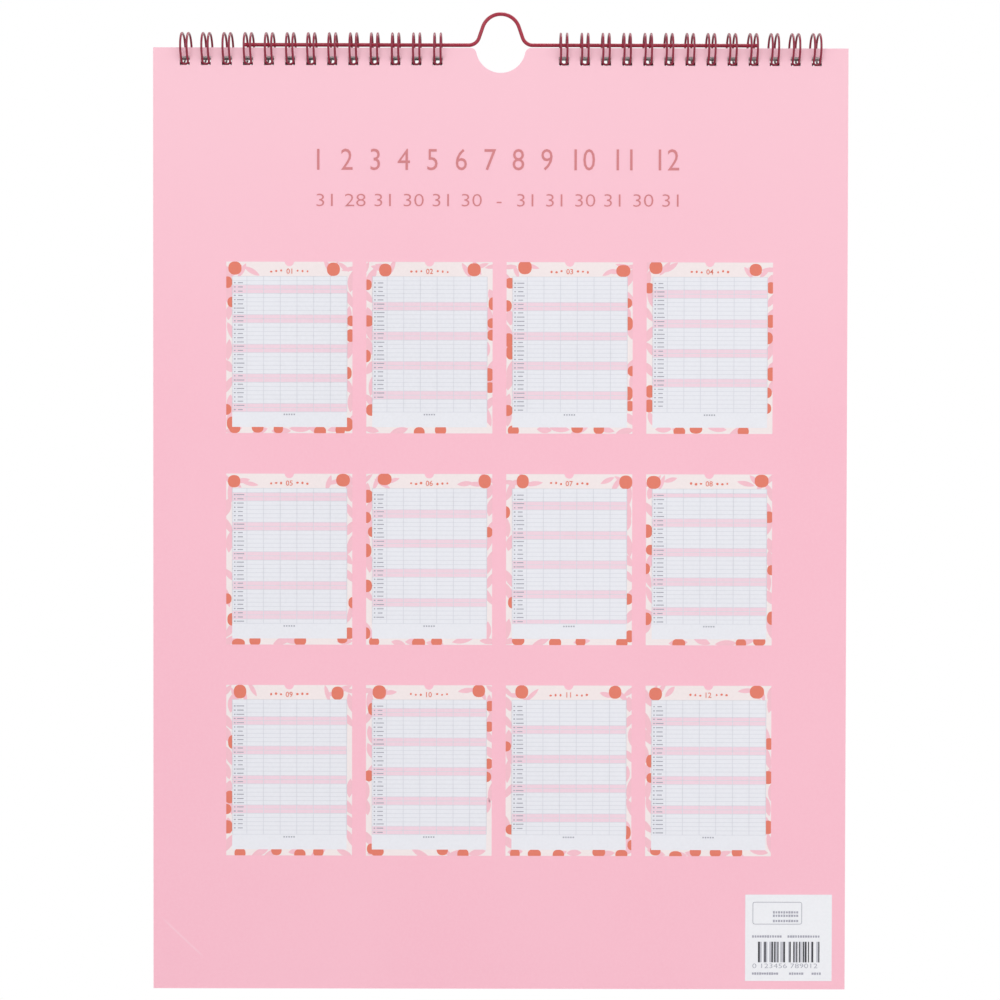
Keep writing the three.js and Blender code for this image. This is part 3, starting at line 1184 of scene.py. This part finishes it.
# The number rows' middles, from the sheet's middle line and down from its top edge
MONTHS_PLACE = (-1.0 * MM, 44.8 * MM)
DAYS_PLACE = (-1.2 * MM, 61.1 * MM)


class PLANNER_OT_title(bpy.types.Operator):
    """Print the row of month numbers and the row of day counts"""

    bl_idname = "planner.title"
    bl_label = "Number rows"

    def execute(self, context):
        colours = context.scene.planner_print
        width = colours.title_width
        months = "  ".join(str(number) for number in MONTH_NUMBERS)
        half = len(DAYS_IN_MONTH) // 2
        halves = (DAYS_IN_MONTH[:half], DAYS_IN_MONTH[half:])
        days = "  -  ".join(" ".join(str(count) for count in counts) for counts in halves)
        upper = figures(months, colours.title_height, MARK, width, offset=-0.004)
        lower = figures(days, colours.small_height, MARK, width)
        for row, (x, down) in ((upper, MONTHS_PLACE), (lower, DAYS_PLACE)):
            row.transform(facing(False, x, BACK_LOW.y, SHEET_TOP - down))
        rose = material_called("Rose print", paper_material, colours.rose)
        rows = joined("number_rows", [upper, lower])
        piece("number_rows", rows, rose, "back_cover", "month_print")
        return {"FINISHED"}


# The label's parts, as shares of its width, from its left and its top edge
BARS_LEFT, BARS_MIDDLE, BAR_HEIGHT = 0.165, 0.665, 0.238
PALE_BAR_STEP, BAR_STEP = 0.0665, 0.0358
CODE_MIDDLE_X, CODE_MIDDLE_Y, CODE_HEIGHT, CODE_WIDTH = 0.46, 0.825, 0.052, 0.75
LABEL_FRAME_X, LABEL_FRAME_Y = (0.085, 0.655), (0.085, 0.345)
LEAST_DASH, GREATEST_DASH = (0.018, 0.022), (0.024, 0.028)
DASH_ROWS = (  # first x, y, how many, from one to the next
    (0.09, 0.485, 12, 0.029),
    (0.5, 0.485, 13, 0.029),
    (0.09, 0.915, 11, 0.028),
    (0.52, 0.915, 6, 0.028),
    (0.78, 0.915, 4, 0.028),
    (0.33, 0.205, 10, 0.03),
    (0.33, 0.245, 10, 0.03),
    (0.33, 0.305, 10, 0.03),
)


def rounded_outline(centre, half, corner):
    """A rounded rectangle's outline by its middle, half size and corner radius."""
    outline = []
    for quarter, (sx, sy) in enumerate(((1, 1), (-1, 1), (-1, -1), (1, -1))):
        x = centre.x + sx * (half.x - corner)
        y = centre.y + sy * (half.y - corner)
        start = quarter * QUARTER_TURN
        outline += arc(x, y, corner, start, start + QUARTER_TURN, 6)
    return outline


class PLANNER_OT_label(bpy.types.Operator):
    """Print the label field with plain bars, rules and figures"""

    bl_idname = "planner.label"
    bl_label = "Label field"

    def execute(self, context):
        colours = context.scene.planner_print
        layers = Layers()
        for ink, mesh in self.drawings(LABEL_HIGH.x - LABEL_LOW.x):
            layers.add(ink, mesh, facing(False, LABEL_LOW.x, BACK_LOW.y, LABEL_HIGH.z))
        inks = inks_from((
            ("ground", "Label print", colours.label, "label_print"),
            ("black", "Black print", colours.black, "label_print"),
            ("grey", "Mark print", colours.mark, "label_print"),
            ("pale", "Shade print", colours.shade, "label_print"),
        ))
        layers.finish("label", inks, "back_cover", {"ground": ["label_field"]})
        return {"FINISHED"}

    def drawings(self, size):
        """Each drawing on the label with its ink."""
        ground = box_plate("ground", *level_span(FIELD))
        yield "ground", laid(ground, size / 2, -size / 2, size, size)
        height = BAR_HEIGHT * size
        first = (BARS_LEFT * size, -BARS_MIDDLE * size)
        bar = box_plate("pale_bar", *level_span(TINT))
        yield "pale", mark_row(bar, 11, first, (PALE_BAR_STEP * size, 0), (0.8 * MM, height),
                               (1.7 * MM, height), shift=(0.5 * MM, 0), kept=0.85, seed=2)
        bar = box_plate("bar", *level_span(MARK))
        yield "black", mark_row(bar, 20, first, (BAR_STEP * size, 0), (0.4 * MM, height),
                                (0.75 * MM, height), shift=(0.3 * MM, 0), kept=0.72, seed=5)
        code = figures("0 123456 789012", CODE_HEIGHT * size, MARK, CODE_WIDTH * size)
        yield "grey", laid(code, CODE_MIDDLE_X * size, -CODE_MIDDLE_Y * size)
        dash = box_plate("dash", *level_span(MARK))
        sizes = [(width * size, height * size) for width, height in (LEAST_DASH, GREATEST_DASH)]
        for x, y, count, step in DASH_ROWS:
            first = (x * size, -y * size)
            yield "grey", mark_row(dash, count, first, (step * size, 0), *sizes, seed=count)
        yield "grey", self.thin_frame(size)

    @staticmethod
    def thin_frame(size):
        """The thin frame with round corners round the upper dashes."""
        (left, right), (top, low) = LABEL_FRAME_X, LABEL_FRAME_Y
        line, corner = 0.22 * MM, 0.9 * MM
        centre = Vector(((left + right) / 2 * size, -(top + low) / 2 * size))
        half = Vector(((right - left) / 2 * size, (low - top) / 2 * size))
        outer = rounded_outline(centre, half, corner)
        inner = rounded_outline(centre, half - Vector((line, line)), corner - line)
        return flat_solid("frame", [outer, inner], *level_span(MARK))


# ---------------------------------------------------------------- studio

FLOOR_HALF = 3.0
FLOOR_GREY = (0.86, 0.86, 0.86)


def area_lamp(name, place, target, size, power):
    """A round soft lamp at a place, turned to a target."""
    lamp = bpy.data.lights.new(name, "AREA")
    lamp.shape = "DISK"
    lamp.size = size
    lamp.energy = power
    made = in_scene(name, lamp)
    made.location = place
    made.rotation_euler = (target - place).to_track_quat("-Z", "Y").to_euler()


def seen_directly(tree):
    """The socket that is 1 where a camera, glossy or transmission ray arrives."""
    path = add_node(tree, "ShaderNodeLightPath").outputs
    seen = calculated(tree, "MAXIMUM", path["Is Camera Ray"], path["Is Glossy Ray"])
    return calculated(tree, "MAXIMUM", seen, path["Is Transmission Ray"])


class PLANNER_OT_studio(bpy.types.Operator):
    """Set up the floor, the soft lamps, the white surroundings and the camera"""

    bl_idname = "planner.studio"
    bl_label = "Studio"

    def execute(self, context):
        scene = context.scene
        studio = scene.planner_studio
        middle = Vector((0, 0, SHEET_TOP - SHEET_HEIGHT / 2))
        self.floor(studio)
        self.surroundings(scene, studio)
        for name, place, size, power in (
            ("key_lamp", (-0.6, -1.5, 0.8), 1.0, studio.key),
            ("fill_lamp", (1.0, -1.4, 0.5), 2.0, studio.fill),
            ("top_lamp", (0.1, 0.15, 1.0), 0.4, studio.top),
        ):
            area_lamp(name, middle + Vector(place), middle, size, power)
        camera = bpy.data.cameras.new("camera")
        camera.lens = studio.lens
        camera.sensor_width = 36
        camera.clip_start = 0.01
        made = in_scene("camera", camera)
        made.location = (0, -studio.distance, middle.z + studio.height)
        made.rotation_euler = Euler((QUARTER_TURN - studio.tilt, -studio.roll, 0))
        scene.camera = made
        scene.view_settings.view_transform = "Standard"
        return {"FINISHED"}

    @staticmethod
    def floor(studio):
        """A pale floor that keeps the shadow near the planner and fades to white round it."""
        z = BACK_LOW.z - studio.floor_drop
        corners = [(-1, -1), (1, -1), (1, 1), (-1, 1)]
        points = [(x * FLOOR_HALF, y * FLOOR_HALF, z) for x, y in corners]
        mesh = mesh_from("floor", points, [(0, 1, 2, 3)])
        material, tree, shader, place = new_material("Pale floor")
        grain = noise(tree, place, scale=60, detail=2)
        tone = blended(tree, FLOOR_GREY, shaded(FLOOR_GREY, share=0.98), grain)
        feed(tree, shader, {"Base Color": tone, "Roughness": 0.9})
        flat = vector_calculated(tree, "MULTIPLY", place, (1, 1, 0))
        reach = vector_calculated(tree, "LENGTH", flat)
        fade = {"low": studio.floor_near, "high": studio.floor_far}
        far = spread_out(tree, reach, **fade, interpolation_type="SMOOTHSTEP")
        share = calculated(tree, "MULTIPLY", seen_directly(tree), far)
        white = result(tree, "ShaderNodeEmission", {"Color": WHITE, "Strength": 1.0})
        layers = {"Fac": share, 1: shader.outputs["BSDF"], 2: white}
        mixed = result(tree, "ShaderNodeMixShader", layers)
        feed(tree, node_of(tree, "OUTPUT_MATERIAL"), {"Surface": mixed})
        mesh.materials.append(material)
        made = in_scene("floor", mesh)

    @staticmethod
    def surroundings(scene, studio):
        """A world that looks white and lights the planner softly."""
        world = bpy.data.worlds.new("surroundings")
        world.use_nodes = True
        tree = world.node_tree
        tree.nodes.clear()
        strength = spread_out(tree, seen_directly(tree), 0, 1, to_low=studio.ambient)
        light = result(tree, "ShaderNodeBackground", {"Color": WHITE, "Strength": strength})
        add_node(tree, "ShaderNodeOutputWorld", {"Surface": light})
        scene.world = world


class PLANNER_PT_panel(bpy.types.Panel):
    """The planner's pieces, each with its button"""

    bl_idname = "PLANNER_PT_panel"
    bl_label = "Planner"
    bl_space_type = "VIEW_3D"
    bl_region_type = "UI"
    bl_category = "Planner"

    def draw(self, context):
        for step in STEPS:
            self.layout.operator(step.bl_idname)


SETTINGS = {
    "planner_sheets": SheetSettings,
    "planner_wires": WireSettings,
    "planner_print": PrintSettings,
    "planner_studio": StudioSettings,
}
STEPS = (
    PLANNER_OT_covers,
    PLANNER_OT_leaves,
    PLANNER_OT_binding,
    PLANNER_OT_hanger,
    PLANNER_OT_month_pages,
    PLANNER_OT_title,
    PLANNER_OT_label,
    PLANNER_OT_first_leaf,
    PLANNER_OT_studio,
)


def register():
    for made in (*SETTINGS.values(), *STEPS, PLANNER_PT_panel):
        bpy.utils.register_class(made)
    for name, group in SETTINGS.items():
        setattr(bpy.types.Scene, name, PointerProperty(type=group))


def unregister():
    for name in SETTINGS:
        delattr(bpy.types.Scene, name)
    for made in (PLANNER_PT_panel, *reversed(STEPS), *reversed(list(SETTINGS.values()))):
        bpy.utils.unregister_class(made)


def main():
    register()
    for step in STEPS:
        _, name = step.bl_idname.split(".")
        getattr(bpy.ops.planner, name)()


if __name__ == "__main__":
    main()
